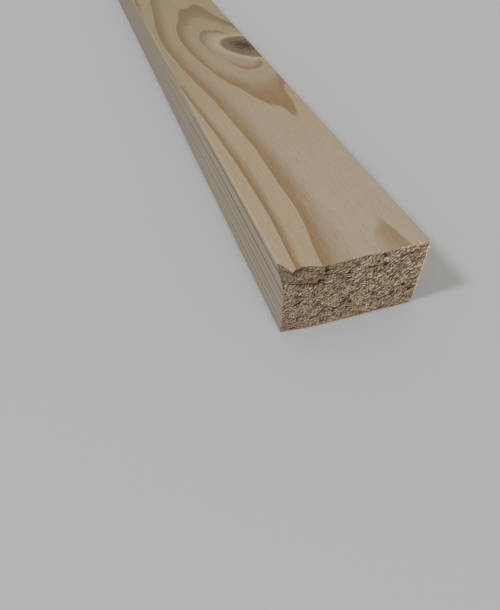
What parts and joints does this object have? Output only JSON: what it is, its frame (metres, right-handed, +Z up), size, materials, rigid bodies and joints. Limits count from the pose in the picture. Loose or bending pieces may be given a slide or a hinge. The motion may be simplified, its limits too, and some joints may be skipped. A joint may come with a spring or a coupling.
{
  "type": "timber batten",
  "caption": "Planed softwood batten with eased long edges, one square end, and one hand-sawn end cut a little out of square with a corner broken off.",
  "frame": {"origin": "middle of the underside, on the floor that the batten lies on", "axes": "+X along the batten from the hand-sawn end to the square end, +Y towards the edge with the broken corner, +Z up"},
  "size_m": [0.9, 0.045, 0.025],
  "materials": {
    "softwood": "planed, bare"
  },
  "bodies": {
    "root": {"batten": "softwood"}
  },
  "joints": []
}
